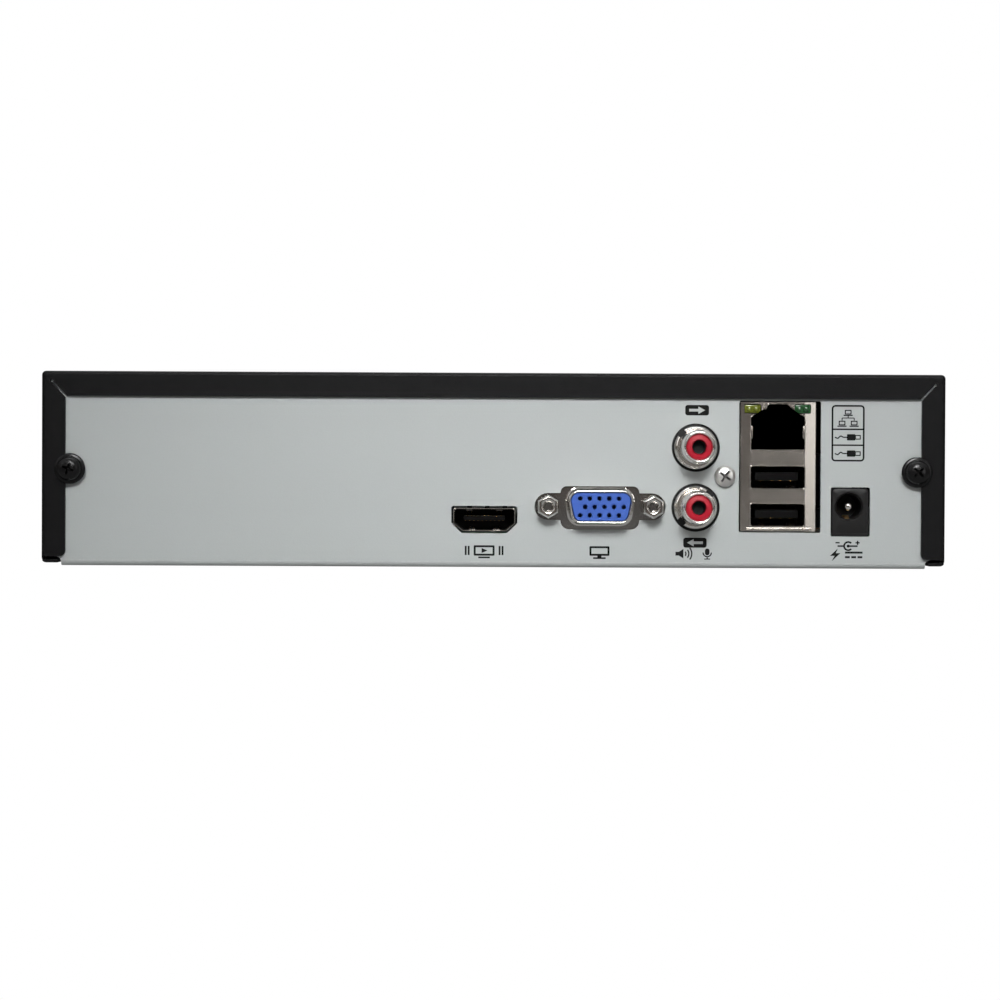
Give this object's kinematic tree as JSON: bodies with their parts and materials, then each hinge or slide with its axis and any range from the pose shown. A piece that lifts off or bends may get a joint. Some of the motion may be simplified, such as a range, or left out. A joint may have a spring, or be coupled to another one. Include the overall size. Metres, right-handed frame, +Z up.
{
  "type": "network video recorder",
  "caption": "Low black steel case with a grey rear panel of video, audio, network and power sockets, holding a main board and a hard drive; the cover slides off to the rear.",
  "frame": {"origin": "on the underside of the tray, under the middle of the case", "axes": "+X along the width, to the left seen from the rear; +Y towards the rear sockets; +Z up"},
  "size_m": [0.216, 0.1988, 0.0463],
  "materials": {
    "black_steel": "satin powder coat",
    "grey_steel": "fine satin paint",
    "bright_plating": "bright nickel plating",
    "tinned_steel": "tinned sheet",
    "black_plastic": "satin moulded",
    "blue_plastic": "satin moulded",
    "red_plastic": "glossy moulded",
    "yellow_lens": "clear tinted",
    "green_lens": "clear tinted",
    "smoked_plastic": "dark tinted, polished",
    "clear_plastic": "frosted clear",
    "circuit_board": "solder resist",
    "cast_aluminium": "cast and brushed",
    "polished_aluminium": "polished",
    "red_cable": "soft sheath",
    "white_plastic": "satin moulded"
  },
  "bodies": {
    "chassis": {"chassis_tray": "grey_steel", "front_bezel": "black_plastic", "ir_window": "smoked_plastic", "light_pipe": "clear_plastic", "front_board": "circuit_board", "ir_receiver": "smoked_plastic", "front_ribbon": "white_plastic", "hdmi_shell": "bright_plating", "hdmi_tongue": "black_plastic", "vga_shell": "bright_plating", "vga_insert": "blue_plastic", "vga_jackscrew_left": "bright_plating", "vga_jackscrew_right": "bright_plating", "audio_jack_housing": "black_plastic", "audio_barrel_out": "bright_plating", "audio_insulator_out": "red_plastic", "audio_barrel_in": "bright_plating", "audio_insulator_in": "red_plastic", "audio_jack_screw": "bright_plating", "network_usb_shield": "tinned_steel", "network_usb_body": "black_plastic", "usb_tongue_lower": "black_plastic", "usb_tongue_upper": "black_plastic", "link_led_left": "yellow_lens", "link_led_right": "green_lens", "power_jack_body": "black_plastic", "power_jack_pin": "bright_plating", "main_board": "circuit_board", "processor": "black_plastic", "heat_sink": "cast_aluminium", "memory_chip_left": "black_plastic", "memory_chip_right": "black_plastic", "coin_cell_holder": "black_plastic", "coin_cell": "bright_plating", "buzzer": "black_plastic", "power_inductor": "black_plastic", "capacitor_large": "cast_aluminium", "capacitor_small": "cast_aluminium", "sata_data_header": "black_plastic", "sata_power_header": "white_plastic", "front_header": "white_plastic", "board_screw_1": "bright_plating", "board_screw_2": "bright_plating", "board_screw_3": "bright_plating", "board_screw_4": "bright_plating", "disk_case": "cast_aluminium", "disk_lid": "polished_aluminium", "disk_circuit_board": "circuit_board", "disk_connector": "black_plastic", "disk_screw_1": "bright_plating", "disk_screw_2": "bright_plating", "disk_screw_3": "bright_plating", "disk_screw_4": "bright_plating", "sata_data_cable": "red_cable", "sata_power_cable": "black_plastic"},
    "cover": {"top_cover": "black_steel", "cover_screw_left": "black_steel", "cover_screw_right": "black_steel"},
    "platter": {"disk_platter": "polished_aluminium"},
    "actuator": {"disk_actuator": "cast_aluminium"}
  },
  "joints": [
    {"name": "cover_slide", "type": "slide", "parent": "chassis", "child": "cover", "axis": [0, 1, 0], "range_m": [0, 0.2]},
    {"name": "platter_spin", "type": "hinge", "parent": "chassis", "child": "platter", "pos_m": [-0.0455, -0.0282, 0.0169], "axis": [0, 0, 1], "continuous": true},
    {"name": "actuator_swing", "type": "hinge", "parent": "chassis", "child": "actuator", "pos_m": [0.0195, -0.0022, 0.0185], "axis": [0, 0, 1], "range_deg": [0, 32]}
  ]
}
